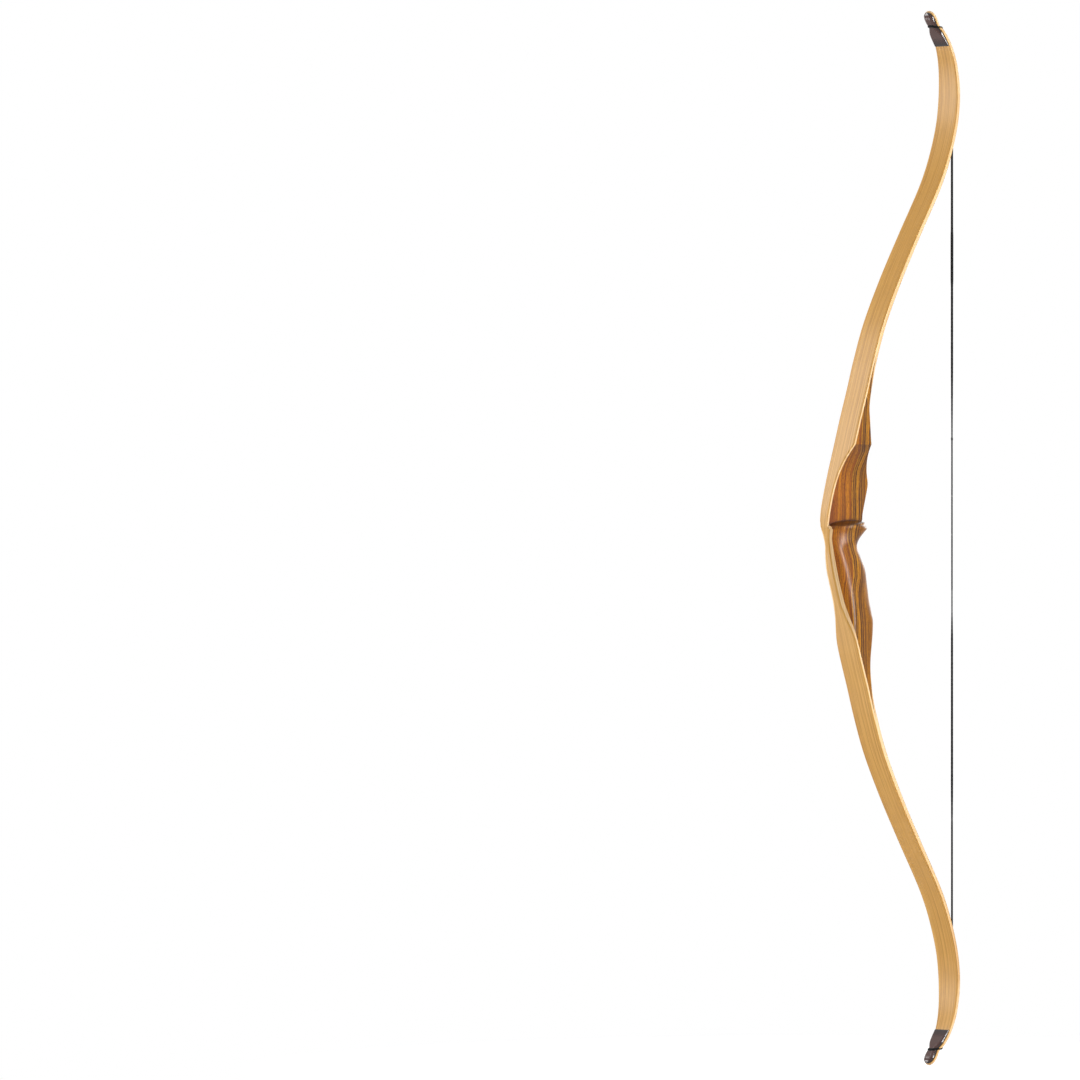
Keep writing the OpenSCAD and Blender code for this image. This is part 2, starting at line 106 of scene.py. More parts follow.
def along(rows, x, column=1):
    """The smooth curve through rows of (place, value, ...) at the place x."""
    i = 0
    while i < len(rows) - 2 and x >= rows[i + 1][0]:
        i += 1

    def slope(k):
        before, after = rows[max(k - 1, 0)], rows[min(k + 1, len(rows) - 1)]
        return (after[column] - before[column]) / (after[0] - before[0])
    low, high = rows[i], rows[i + 1]
    span = high[0] - low[0]
    u = (x - low[0]) / span
    return (low[column] * (1 + 2 * u) * (1 - u) ** 2 + high[column] * u * u * (3 - 2 * u)
            + slope(i) * span * u * (1 - u) ** 2 - slope(i + 1) * span * u * u * (1 - u))


def ramp(x, x0, x1, v0=0.0, v1=1.0):
    """v0 before x0, v1 after x1 and a straight run between."""
    return v0 + (v1 - v0) * min(max((x - x0) / (x1 - x0), 0), 1)


def back_y(s):
    """Where the bow's back lies, s up from its middle."""
    return BOW_LINE[0][1] if abs(s) < 1 else along(BOW_LINE, abs(s))


def lean(s):
    """The back's angle from upright."""
    return math.atan(back_y(abs(s) + .5) - back_y(abs(s) - .5))


def section_lean(s):
    """The section's angle from level."""
    return lean(s) * ramp(abs(s), *SECTION_TURN)


def at(s, x, t):
    """The point x to the side and t deep below the back, s up from the bow's middle, in metres."""
    turn = section_lean(s)
    depth = t / math.cos(lean(s) - turn)
    return Vector((x, back_y(s) + depth * math.cos(turn),
                   MIDDLE_Z + s - math.copysign(1, s) * depth * math.sin(turn))) / 1000


def on_handle(s):
    return abs(s) < HANDLE_END_D


def limb_thickness(s):
    return ramp(abs(s), *LIMB_THICK) - ramp(abs(s), *TIP_THINNED)


def whole_thickness(s):
    """From the back to the belly, with the riser where there is one."""
    if not on_handle(s):
        return limb_thickness(s)
    riser_depth = max(0, along(HANDLE, MIDDLE_Z + s))
    return limb_thickness(s) + riser_depth * math.cos(lean(s) - section_lean(s))


def whole_core_thickness(s):
    return ramp(abs(s), *CORE_THICK)


def back_thickness(s):
    """The back's glass and core together."""
    return limb_thickness(s) - GLASS_THICK - whole_core_thickness(s)


def belly_core_thickness(s):
    if abs(s) < CORE_START_D:
        return 0
    return ramp(abs(s), CORE_START_D, CORE_WHOLE_D, FEATHER_THICK, whole_core_thickness(s))


def belly_glass_thickness(s):
    start = abs((UPPER_GLASS_START if s > 0 else LOWER_GLASS_START) - MIDDLE_Z)
    if abs(s) < start:
        return 0
    return ramp(abs(s), start, GLASS_WHOLE_D, FEATHER_THICK, GLASS_THICK)


def inset(t, radius, width):
    """How far a corner of that radius pulls in at depth t."""
    if t >= radius:
        return 0
    return min(radius, width) * (1 - math.sqrt(max(0, 1 - ((radius - max(t, 0)) / radius) ** 2)))


def side(s, t, corner):
    """Half the section's width at depth t, with the front corner of the side asked for."""
    z = MIDDLE_Z + s
    if on_handle(s):
        width = along(HANDLE, z, 2)
        front = max(SMALLEST_CORNER, along(HANDLE, z, corner))
        rear = max(SMALLEST_CORNER, along(HANDLE, z, REAR))
    else:
        width = along(LIMB_TAPER, abs(s)) * LIMB_WIDTH / 2
        front = rear = LIMB_CORNER
    return width - inset(t, front, width) - inset(whole_thickness(s) - t, rear, width)


def window_x(y, z):
    """How far to the right the wood reaches in the sight window, over the crowned shelf."""
    if z > WINDOW_STRAIGHT_TOP:
        reach, rise = LIMB_WIDTH / 2 - WALL_X, WINDOW_TOP - WINDOW_STRAIGHT_TOP
        arc = (reach ** 2 + rise ** 2) / (2 * reach)
        return WALL_X + arc - math.sqrt(max(0, arc ** 2 - (z - WINDOW_STRAIGHT_TOP) ** 2))
    level = min(max(1 - (SHELF_Z - z) / SHELF_ROLL, 0), 1)
    reach = SHELF_REAR_REACH if y > SHELF_MIDDLE[1] else SHELF_FRONT_REACH
    room = 1 - level ** 2 - ((y - SHELF_MIDDLE[1]) / reach) ** 2
    return max(WALL_X, SHELF_MIDDLE[0] + SHELF_SIDE_REACH * math.sqrt(max(0, room)))


def right_side(s, t):
    """The section's right side, cut back at the window with its edges eased."""
    z = MIDDLE_Z + s
    free = side(s, t, RIGHT)
    if not SHELF_Z - SHELF_ROLL - 1 < z < WINDOW_TOP:
        return free
    cut = window_x(back_y(s) + t / math.cos(lean(s)), z)
    cut -= inset(t, EASED_EDGE, EASED_EDGE) + inset(whole_thickness(s) - t, EASED_EDGE, EASED_EDGE)
    rounding = SHELF_LIP_ROUND if z < SHELF_Z + 2 else WALL_LIP_ROUND
    near = max(rounding - abs(free - cut), 0) / rounding
    return min(free, cut) - near * near * rounding / 4


def ring(s, depths, across=6):
    """Closed section between two depths: down the right side, over the belly, up the left side."""
    right = [(right_side(s, t), t) for t in depths]
    left = [(min(-side(s, t, LEFT), r[0]), t) for t, r in zip(depths, right)]
    shares = [(i + 1) / (across + 1) for i in range(across)]
    rear = [(right[-1][0] + (left[-1][0] - right[-1][0]) * u, depths[-1]) for u in shares]
    front = [(left[0][0] + (right[0][0] - left[0][0]) * u, depths[0]) for u in shares]
    return [(s, x, t) for x, t in right + rear + left[::-1] + front]


def spread(*stretches):
    """Places from several (start, end, step) stretches, in order."""
    found = set()
    for start, end, step in stretches:
        n = max(1, round(abs(end - start) / step))
        found |= {round(start + (end - start) * i / n, 4) for i in range(n + 1)}
    return sorted(found)


def in_scene(name, data):
    """A new object of that data, linked to the scene."""
    made = bpy.data.objects.new(name, data)
    bpy.context.scene.collection.objects.link(made)
    return made


SAME_PLACE, NO_LENGTH = 2e-6, 1e-6   # metres under which points are merged and edges removed


def skinned(name, rings, sharp=38):
    """A closed mesh over rings of (s, x, t), with edges of more than sharp degrees left sharp.

    Its attribute 'grain' keeps each point's place in the unbent bow, for the wood's pattern.
    """
    mesh = bpy.data.meshes.new(name)
    n, flat = len(rings[0]), [point for section in rings for point in section]
    faces = [tuple(range(n))[::-1], tuple(range((len(rings) - 1) * n, len(rings) * n))]
    faces += [(i * n + j, i * n + (j + 1) % n, (i + 1) * n + (j + 1) % n, (i + 1) * n + j)
              for i in range(len(rings) - 1) for j in range(n)]
    mesh.from_pydata([at(*point) for point in flat], [], faces)
    grain = mesh.attributes.new("grain", "FLOAT_VECTOR", "POINT")
    grain.data.foreach_set("vector", [v / 1000 for s, x, t in flat for v in (x, t, s)])
    work = bmesh.new()
    work.from_mesh(mesh)
    bmesh.ops.remove_doubles(work, verts=work.verts, dist=SAME_PLACE)
    bmesh.ops.dissolve_degenerate(work, edges=work.edges, dist=NO_LENGTH)
    bmesh.ops.recalc_face_normals(work, faces=work.faces)
    work.to_mesh(mesh)
    work.free()
    mesh.shade_smooth()
    mesh.set_sharp_from_angle(angle=math.radians(sharp))
    return in_scene(name, mesh)


FRONT_ROWS, MIDDLE_ROWS, REAR_ROWS = 14, 9, 18   # round the front corners, between, round the rear
FRONT_SHARES, REAR_SHARES = (.2, .55), (.1, .35)   # least and most of the depth that each takes


def riser_depths(s):
    """The depths of the riser's points, close together where its corners turn."""
    first = back_thickness(s)
    last = whole_thickness(s) - max(belly_core_thickness(s) + belly_glass_thickness(s),
                                    BARE_WOOD_SHORT)
    wood = last - first
    z = MIDDLE_Z + s
    corner = max(along(HANDLE, z, LEFT), along(HANDLE, z, RIGHT))
    front = min(max(corner - first, FRONT_SHARES[0] * wood), FRONT_SHARES[1] * wood)
    rear = min(max(along(HANDLE, z, REAR), REAR_SHARES[0] * wood), REAR_SHARES[1] * wood)
    return ([first + front * (i / FRONT_ROWS) ** 1.5 for i in range(FRONT_ROWS + 1)]
            + [first + front + (wood - front - rear) * i / MIDDLE_ROWS for i in range(1, MIDDLE_ROWS)]
            + [first + wood - rear * (1 - math.sin(math.pi / 2 * i / REAR_ROWS))
               for i in range(REAR_ROWS + 1)])


# The rings stand closest where the thumb ledge's lip and the shelf turn.
SHELF_ROWS = 26
heights = spread((-235.4, -140, 5), (-140, 20, 2.5), (20, 23, 1), (23, 24, .3), (36, 78, 2.5),
                 (78, 137, 2), (137, 180, 3), (180, 258.4, 5))
heights = sorted(set(heights) | {
    round(SHELF_Z - SHELF_ROLL * (1 - math.sqrt(1 - (i / SHELF_ROWS) ** 2)), 4)
    for i in range(SHELF_ROWS + 1)})
riser = skinned("riser", [ring(z - MIDDLE_Z, riser_depths(z - MIDDLE_Z), 10) for z in heights],
                sharp=26)


def srgb(code):
    """A written sRGB colour as the linear one that Blender works in."""
    parts = [int(code[i:i + 2], 16) / 255 for i in (1, 3, 5)]
    return [*(v / 12.92 if v <= .04045 else ((v + .055) / 1.055) ** 2.4 for v in parts), 1]


def node(tree, kind, links=None, **settings):
    """Adds one node; links maps its input names to sockets or to values."""
    made = tree.nodes.new(kind)
    for key, value in settings.items():
        setattr(made, key, value)
    for key, value in (links or {}).items():
        if isinstance(value, bpy.types.NodeSocket):
            tree.links.new(value, made.inputs[key])
        else:
            made.inputs[key].default_value = value
    return made


def stops(ramp_node, *rows):
    """Sets a colour ramp's stops from rows of (place, colour) and gives its colour."""
    points = ramp_node.color_ramp.elements
    while len(points) < len(rows):
        points.new(.5)
    for point, (place, code) in zip(points, rows):
        point.position = place
    for point, (place, code) in zip(points, rows):
        point.color = srgb(code)
    return ramp_node.outputs["Color"]


def new_material(name):
    made = bpy.data.materials.new(name)
    made.use_nodes = True
    made.node_tree.nodes.clear()
    tree = made.node_tree
    shader = node(tree, "ShaderNodeBsdfPrincipled")
    node(tree, "ShaderNodeOutputMaterial", {"Surface": shader.outputs[0]})
    return made, tree, shader


# Striped brown hardwood, sanded and finished in clear satin lacquer. Its layers run up the bow,
# slant 45 degrees across the block and drift to and fro with the tree's growth, so the dark
# stripes wander over the grip. Each point keeps its place in those layers.
GRAIN_DRIFT = [  # height, how far the layers have drifted there
    (-240, -6), (-130, -4.5), (-100, -3.1), (-69, .6), (-57, -.1), (-39, -3.8), (-18, -2.3),
    (-3, 3.5), (12, 7), (27, 4.1), (37, 0), (80, 0), (101, -2.5), (118, -11.5), (131, -18.5),
    (262, -24)]
layers = riser.data.attributes.new("layers", "FLOAT_VECTOR", "POINT")
layers.data.foreach_set("vector", [
    v for x, y, z in (p.co for p in riser.data.vertices)
    for v in (x - y, x + y + along(GRAIN_DRIFT, z * 1000) / 1000, z)])

# Painted shade, with a little pooled lacquer, darkens the inner corner where the shelf meets the
# window's wall.
CORNER_SHADE_WIDTH = 2.4
seam = riser.data.attributes.new("seam", "FLOAT", "POINT")
wall = (WALL_X - SHELF_MIDDLE[0]) / SHELF_SIDE_REACH
nearness = []
for x, y, z in (p.co * 1000 for p in riser.data.vertices):
    reach = SHELF_REAR_REACH if y > SHELF_MIDDLE[1] else SHELF_FRONT_REACH
    level = math.sqrt(max(0, 1 - wall ** 2 - ((y - SHELF_MIDDLE[1]) / reach) ** 2))
    corner_z = SHELF_Z - SHELF_ROLL * (1 - level)
    gone = math.hypot(max(x - WALL_X, 0), z - corner_z) / CORNER_SHADE_WIDTH
    nearness.append(max(0, 1 - gone) if x > WALL_X - 1 else 0)
seam.data.foreach_set("value", nearness)

SWAY, RAGGED = .005, .0022   # how far the stripes sway, and how deep their torn edges are, in metres
STRIPES_FROM, STRIPES_TO = -.0414, .0386   # the stretch across the layers that the stops cover
striped_wood, tree, shader = new_material("striped_hardwood_satin_lacquer")
place = node(tree, "ShaderNodeAttribute", attribute_name="layers").outputs["Vector"]
noises = {}
for label, per_metre, detail, rough in (
        ("sway", (30, 30, 16), 2.0, .5),           # slow bends, 33 mm across and 60 mm long
        ("ragged", (300, 900, 40), 2.0, .5),       # torn edges, 1.1 mm across and 25 mm long
        ("fine", (60, 1300, 10), 4.0, .65),        # layers .8 mm apart and 100 mm long
        ("pores", (1500, 1500, 190), 1.0, .5)):    # pores .7 mm wide and 5 mm long
    stretched = node(tree, "ShaderNodeMapping", {"Vector": place, "Scale": per_metre})
    noises[label] = node(tree, "ShaderNodeTexNoise", {
        "Vector": stretched.outputs[0], "Scale": 1.0, "Detail": detail,
        "Roughness": rough}).outputs["Fac"]
across = node(tree, "ShaderNodeSeparateXYZ", {"Vector": place}).outputs["Y"]
for label, depth in (("sway", SWAY), ("ragged", RAGGED)):
    across = node(tree, "ShaderNodeMath", {0: noises[label], 1: depth, 2: across},
                  operation="MULTIPLY_ADD").outputs[0]
share = node(tree, "ShaderNodeMapRange", {"Value": across, "From Min": STRIPES_FROM,
                                          "From Max": STRIPES_TO})
stripes = stops(node(tree, "ShaderNodeValToRGB", {"Fac": share.outputs[0]}),
                (0, "#A0550D"), (.0625, "#A95C0D"), (.1125, "#B56A0E"), (.1375, "#A3590D"),
                (.175, "#CB8213"), (.219, "#C67C12"), (.2375, "#A55B0D"), (.256, "#CA8013"),
                (.294, "#B66F0F"), (.3125, "#954F0B"), (.331, "#C07711"), (.4, "#C98214"),
                (.43, "#AC640E"), (.453, "#A1580D"), (.4625, "#83440B"), (.475, "#C8881A"),
                (.5, "#CF911B"), (.511, "#542E08"), (.519, "#61370B"), (.53, "#AC731A"),
                (.549, "#AC731A"), (.558, "#412207"), (.568, "#4D2908"), (.58, "#CF911F"),
                (.642, "#CB8A1C"), (.656, "#542E08"), (.67, "#653B0C"), (.6825, "#B57B1F"),
                (.7125, "#7A4B11"), (.73, "#B5791C"), (.769, "#7F4F11"), (.79, "#B77B1A"))
# Between the stripes lie finer layers, with short dark pores along them.
streak = stops(node(tree, "ShaderNodeValToRGB", {"Fac": noises["fine"]}),
               (.37, "#705A36"), (.48, "#CABA8E"), (.6, "#FFF8D2"))
colour = node(tree, "ShaderNodeMix", {0: .9, 6: stripes, 7: streak}, data_type="RGBA",
              blend_type="MULTIPLY").outputs[2]
pores = node(tree, "ShaderNodeMapRange", {"Value": noises["pores"], "From Min": .5,
                                          "From Max": .66, "To Max": .62})
colour = node(tree, "ShaderNodeMix", {0: pores.outputs[0], 6: colour, 7: srgb("#4A240C")},
              data_type="RGBA").outputs[2]
# Surfaces that face up or down are darkened: partly end grain, which cuts across the layers and
# drinks the lacquer, and partly painted shade, as under the window's arch.
facing = node(tree, "ShaderNodeSeparateXYZ", {"Vector": node(
    tree, "ShaderNodeTexCoord").outputs["Normal"]})
upright = node(tree, "ShaderNodeMath", {0: facing.outputs["Z"]}, operation="ABSOLUTE")
end_grain_and_shade = node(tree, "ShaderNodeMapRange", {"Value": upright.outputs[0], "From Min": .15,
                                              "From Max": .85, "To Max": .7})
# Painted shade, with pooled lacquer, in the inner corner by the shelf.
painted_corner_shade_and_lacquer = node(tree, "ShaderNodeAttribute", attribute_name="seam").outputs["Fac"]
dark = node(tree, "ShaderNodeMath", {0: end_grain_and_shade.outputs[0], 1: painted_corner_shade_and_lacquer}, operation="MAXIMUM")
colour = node(tree, "ShaderNodeMix", {0: dark.outputs[0], 6: colour, 7: srgb("#3A1B0A")},
              data_type="RGBA").outputs[2]
tree.links.new(colour, shader.inputs["Base Color"])
shader.inputs["Roughness"].default_value = .3
shader.inputs["Specular IOR Level"].default_value = .27
riser.data.materials.append(striped_wood)
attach(riser, "handle")
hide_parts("riser")

# ---- Laminated strips, grooves for the loops ----
# Each limb is clear glass fibre, two strips of pale straight-grained wood and clear glass fibre,
# glued over a form. The back's two strips run from tip to tip; the belly's run up the riser's ramps
# to feathered ends. A groove filed near each tip takes the string's loop.
LOOP_CORD_RADIUS, STRING_GAP, GROOVE_ROOM, BRACE = 1.5, .3, .22, 185
LOOP_PATH = [  # distance from the bow's middle, distance to the side, depth below the back
    (681.3, 0, 6), (685.3, 5, 5.8), (688.8, 8.4, 4.6), (690.8, 7.6, 1.8), (692.9, 6.4, -1.2),
    (695.2, 4.6, -4.3), (695.8, 0, -4.9)]
LOOP_MIDDLE = (688, 0, 1)


def loop_points(up, steps):
    """The loop's closed line round the tip, smooth through LOOP_PATH and back on the other side."""
    knots = [at(up * d, x, t) for d, x, t in LOOP_PATH]
    knots += [at(up * d, -x, t) for d, x, t in LOOP_PATH[-2:0:-1]]
    points, n = [], len(knots)
    for i in range(n):
        a, b, c, e = (knots[(i + k) % n] for k in (-1, 0, 1, 2))
        for j in range(steps):
            t = j / steps
            points.append(b + .5 * t * (c - a + t * (2 * a - 5 * b + 4 * c - e
                                                     + t * (3 * (b - c) + e - a))))
    return points


def groove_cutter(up, sides=16):
    """A round ring on the loop's own line, a little thicker than the string."""
    distance, x, t = LOOP_MIDDLE
    line, middle = loop_points(up, 5), at(up * distance, x, t)
    radius = (LOOP_CORD_RADIUS + GROOVE_ROOM) / 1000
    points, n = [], len(line)
    for i, p in enumerate(line):
        run = (line[(i + 1) % n] - line[i - 1]).normalized()
        out = (p - middle) - run * (p - middle).dot(run)
        out.normalize()
        across = run.cross(out)
        points += [p + radius * (out * math.cos(2 * math.pi * k / sides)
                                 + across * math.sin(2 * math.pi * k / sides)) for k in range(sides)]
    faces = [(i * sides + k, i * sides + (k + 1) % sides, (i + 1) % n * sides + (k + 1) % sides,
              (i + 1) % n * sides + k) for i in range(n) for k in range(sides)]
    mesh = bpy.data.meshes.new("groove_cutter")
    mesh.from_pydata(points, [], faces)
    work = bmesh.new()
    work.from_mesh(mesh)
    bmesh.ops.recalc_face_normals(work, faces=work.faces)
    work.to_mesh(mesh)
    work.free()
    return in_scene("groove_cutter", mesh)


def plain_mesh(piece):
    """Turns what the piece's modifiers give into its own mesh and removes them."""
    depsgraph = bpy.context.evaluated_depsgraph_get()
    made = bpy.data.meshes.new_from_object(piece.evaluated_get(depsgraph), depsgraph=depsgraph)
    piece.modifiers.clear()
    made.name = piece.name
    piece.data = made


def cut_groove(piece, up):
    cutter = groove_cutter(up)
    cut = piece.modifiers.new("groove", "BOOLEAN")
    cut.object = cutter
    cut.operation = "DIFFERENCE"
    cut.solver = "EXACT"
    plain_mesh(piece)
    bpy.data.objects.remove(cutter)


# Straight-grained pale wood: bands 1.2 mm wide along the limb, with fine darker pores .7 mm wide.
# Under the clear glass fibre it is honey coloured with an even sheen, and at the sawn edges of the
# strips it is paler and duller.
def pale_wood(name, light, dark, line, rough, shine, bands_deep):
    """bands_deep says how many bands a metre would hold, going down from the back."""
    made, tree, shader = new_material(name)
    place = node(tree, "ShaderNodeAttribute", attribute_name="grain").outputs["Vector"]
    bands = node(tree, "ShaderNodeTexNoise", {"Vector": node(
        tree, "ShaderNodeMapping", {"Vector": place, "Scale": (850, bands_deep, 2.4)}).outputs[0],
        "Scale": 1.0, "Detail": 4.0, "Roughness": .62})
    ground = stops(node(tree, "ShaderNodeValToRGB", {"Fac": bands.outputs["Fac"]}),
                   (.3, line), (.45, dark), (.62, light))
    pores = node(tree, "ShaderNodeTexNoise", {"Vector": node(
        tree, "ShaderNodeMapping", {"Vector": place, "Scale": (1500, 900, 26)}).outputs[0],
        "Scale": 1.0, "Detail": 2.0})
    lines = node(tree, "ShaderNodeMapRange", {"Value": pores.outputs["Fac"], "From Min": .56,
                                              "From Max": .7, "To Max": .6})
    colour = node(tree, "ShaderNodeMix", {0: lines.outputs[0], 6: ground, 7: srgb(line)},
                  data_type="RGBA")
    tree.links.new(colour.outputs[2], shader.inputs["Base Color"])
    shader.inputs["Roughness"].default_value = rough
    shader.inputs["Specular IOR Level"].default_value = shine
    return made


glass_over_wood = pale_wood("clear_glass_fibre_over_pale_wood", "#DDA952", "#C89038", "#A27026",
                            .4, .45, 300)
wood_edge = pale_wood("pale_wood_strip_sawn_edge", "#F2D09E", "#E9C18B", "#D3A46A", .55, .3, 90)
SHELF_FROM_D, SHELF_TO_D, WINDOW_END_D = 9, 24.5, 126   # where the upper strips pass them
GLASS_ROWS, CORE_ROWS = 5, 3
SKIN = .012   # the first point's depth below the back, as a share of its corner's radius


def strip(up, layer, first, handle_nodes, material):
    """One strip from its start near the handle to the tip."""
    half = "upper" if up > 0 else "lower"
    places = spread((first, 140, 4), (140, 660, 5), (660, 684, 2), (684, 708, .8), (708, TIP_D, .4))
    if up > 0:
        places = sorted({d for d in places if not SHELF_FROM_D < d < SHELF_TO_D}
                        | set(spread((SHELF_FROM_D, SHELF_TO_D, .35)))
                        | set(spread((SHELF_TO_D, WINDOW_END_D, 2))))
    rings = []
    for s in (up * d for d in places if d >= first):
        whole, glass, core = whole_thickness(s), belly_glass_thickness(s), belly_core_thickness(s)
        corner = LIMB_CORNER
        if on_handle(s):
            corner = max(SMALLEST_CORNER, along(HANDLE, MIDDLE_Z + s, RIGHT))
        start = SKIN * corner
        depths = {
            "back_glass": [start + (GLASS_THICK - start) * (i / GLASS_ROWS) ** 2
                           for i in range(GLASS_ROWS + 1)],
            "back_core": [GLASS_THICK + (back_thickness(s) - GLASS_THICK) * i / CORE_ROWS
                          for i in range(CORE_ROWS + 1)],
            "belly_core": [whole - glass - core + core * i / CORE_ROWS
                           for i in range(CORE_ROWS + 1)],
            "belly_glass": [whole - glass * (1 - i / GLASS_ROWS) ** 2
                            for i in range(GLASS_ROWS + 1)]}[layer]
        rings.append(ring(s, depths))
    piece = skinned(f"{half}_{layer}_strip", rings)
    cut_groove(piece, up)
    piece.data.materials.append(material)
    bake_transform(piece)
    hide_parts(*handle_nodes, f"{half}_{layer}")


for up, half, glass_start in ((1, "upper", UPPER_GLASS_START - MIDDLE_Z),
                              (-1, "lower", MIDDLE_Z - LOWER_GLASS_START)):
    strip(up, "back_glass", 0, ["handle_back_glass"], glass_over_wood)
    strip(up, "back_core", 0, ["handle_back_core"], wood_edge)
    strip(up, "belly_core", CORE_START_D, [half + "_fade_belly_core"], wood_edge)
    strip(up, "belly_glass", glass_start, [half + "_fade_belly_glass"], glass_over_wood)

# ---- Tip overlays ----
# A block of dark hard laminate is glued on the back of each tip, filed to a flat with a wide bevel
# at each side, grooved across for the loop and polished.
OVERLAY = [  # distance from the bow's middle, thickness, width of the bevel
    (667, .9, .4), (668.5, 1.8, .6), (676, 3.3, 1), (685, 4.6, 2.4), (692.5, 5.1, 4),
    (697, 5.2, 4.2), (700, 5.1, 4.3), (705, 4.7, 4), (709, 3.5, 3), (TIP_D, 1.8, 1.4)]
OVERLAY_EDGE, SMALLEST_FLAT = .5, .4   # height of the edge below the bevel, half the least flat
WALL_SHARE, WALL_LEAN = .62, math.radians(13)   # steep lower part of each bevel
CORNER_ROUND = .22   # share of the wall and of the slope above it that the rounded corner takes


def overlay_ring(s):
    """The overlay's closed section: up one side's wall and slope, over the flat, down the other."""
    d = abs(s)
    width, thick = side(s, SKIN, RIGHT), along(OVERLAY, d)
    bevel = min(along(OVERLAY, d, 2), width - SMALLEST_FLAT)
    edge = min(OVERLAY_EDGE, thick / 2)
    wall_top = WALL_SHARE * (thick - edge)
    foot, top = Vector((0, 0)), Vector((bevel, thick - edge))
    corner = Vector((min(wall_top * math.tan(WALL_LEAN), .5 * bevel), wall_top))
    below, above = corner.lerp(foot, CORNER_ROUND), corner.lerp(top, CORNER_ROUND)
    rounding = [below.lerp(corner, u).lerp(corner.lerp(above, u), u) for u in (.25, .5, .75)]
    bevel_line = [foot, below * .5, below, *rounding, above, above.lerp(top, .5), top]
    half = [(width, SKIN), (width, -edge / 2)]
    half += [(width - p.x, -edge - p.y) for p in bevel_line]
    half += [((width - bevel) * u, -thick) for u in (.9, .5, .2)]
    return [(s, x, t) for x, t in half] + [(s, -x, t) for x, t in half[::-1]]


# Hard laminate of thin dark plies, buffed bright: brown on the flat, nearly black towards the limb,
# with sharp reflections along the bevels.
dark_laminate, tree, shader = new_material("dark_hard_laminate_polished")
place = node(tree, "ShaderNodeAttribute", attribute_name="grain").outputs["Vector"]
depth = node(tree, "ShaderNodeSeparateXYZ", {"Vector": place})
# The plies' edges waver by .3 mm, in flecks 1.1 mm across and 8 mm long.
fleck = node(tree, "ShaderNodeTexNoise", {"Vector": node(
    tree, "ShaderNodeMapping", {"Vector": place, "Scale": (900, 900, 120)}).outputs[0],
    "Scale": 1.0, "Detail": 3.0})
uneven = node(tree, "ShaderNodeMath", {0: fleck.outputs["Fac"], 1: .0006, 2: -.0003},
              operation="MULTIPLY_ADD")
level = node(tree, "ShaderNodeMath", {0: depth.outputs["Y"], 1: uneven.outputs[0]}, operation="ADD")
share = node(tree, "ShaderNodeMapRange", {"Value": level.outputs[0], "From Min": -.0055,
                                          "From Max": 0})
plies = stops(node(tree, "ShaderNodeValToRGB", {"Fac": share.outputs[0]}),
              (0, "#50302A"), (.3, "#4C2F29"), (.42, "#38150E"), (.62, "#241110"), (1, "#150C0B"))
tree.links.new(plies, shader.inputs["Base Color"])
shader.inputs["Roughness"].default_value = .15
for up, half in ((1, "upper"), (-1, "lower")):
    overlay = skinned(half + "_tip_overlay_filed", [
        overlay_ring(up * d) for d in spread((667, 668.6, .4), (668.6, 684, 1.5), (684, 708, .8),
                                             (708, TIP_D, .35))])
    cut_groove(overlay, up)
    overlay.data.materials.append(dark_laminate)
    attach(overlay, half + "_limb")
    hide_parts(half + "_tip_overlay")

# ---- Bowstring ----
# Waxed black polyester strands laid into a cord with a loop at each end. Loops, tails, ends and the
# middle are served: wound tight with thread. At rest the tails lie along the recurves, and the
# middle 50 mm of serving, which the fingers draw back, moves on its own.
NOCK_Z, HOLD = 42, 50
TAIL_FROM_D, TAIL_TO_D, TAIL_STEPS = 679.3, 612, 24
PAST_TAIL = 1.3   # from the tail's end to the first point of the straight run
STRAIGHT_FROM = {up: at(up * TAIL_TO_D, 0, limb_thickness(TAIL_TO_D) + LOOP_CORD_RADIUS).z * 1000
                 - up * PAST_TAIL for up in (1, -1)}
SERVED_END = {  # from the top down: height, the cord's diameter; the next three are the same
    1: [(STRAIGHT_FROM[1], 3), (430, 3.4), (422, 4), (362, 4), (353, 3.3)],
    -1: [(-373, 2.5), (-376, 2.7), (-600, 2.8), (STRAIGHT_FROM[-1], 3)]}
BARE_STRANDS = {
    1: [(354.5, 3.3), (243, 3.3), (160, 2.1), (146, 2)],
    -1: [(-58, 1.9), (-88, 1.9), (-125, 3.1), (-330, 3.2), (-374.5, 2.4)]}
SERVED_CENTRE = {
    1: [(148, 2.2), (147, 3.2), (145.2, 3.2), (143.8, 2.2), (NOCK_Z + HOLD / 2 + 1.1, 2.2)],
    -1: [(NOCK_Z - HOLD / 2 - 1.1, 2.2), (-59, 2.2), (-60.3, 1.9)]}
HELD = [(NOCK_Z + HOLD / 2 + 1.5, 2.2), (NOCK_Z - HOLD / 2 - 1.5, 2.2)]

# Polyester thread rubbed with wax: nearly black and dull, a little greyer where the wax is thin, in
# patches 1.2 mm across and 3 mm long.
waxed_thread, tree, shader = new_material("waxed_black_polyester_thread")
mottle = node(tree, "ShaderNodeTexNoise", {"Vector": node(
    tree, "ShaderNodeMapping", {"Vector": node(tree, "ShaderNodeTexCoord").outputs["Object"],
                                "Scale": (800, 800, 300)}).outputs[0], "Scale": 1.0, "Detail": 2.0})
tree.links.new(stops(node(tree, "ShaderNodeValToRGB", {"Fac": mottle.outputs["Fac"]}),
                     (.3, "#080808"), (.7, "#151516")), shader.inputs["Base Color"])
shader.inputs["Roughness"].default_value = .6
shader.inputs["Specular IOR Level"].default_value = .12


def new_tree(name, *inputs):
    """A node tree with those inputs after its geometry, and its input sockets."""
    tree = bpy.data.node_groups.new(name, "GeometryNodeTree")
    tree.interface.new_socket("Geometry", in_out="INPUT", socket_type="NodeSocketGeometry")
    for label, kind in inputs:
        tree.interface.new_socket(label, in_out="INPUT", socket_type="NodeSocket" + kind)
    tree.interface.new_socket("Geometry", in_out="OUTPUT", socket_type="NodeSocketGeometry")
    return tree, node(tree, "NodeGroupInput").outputs


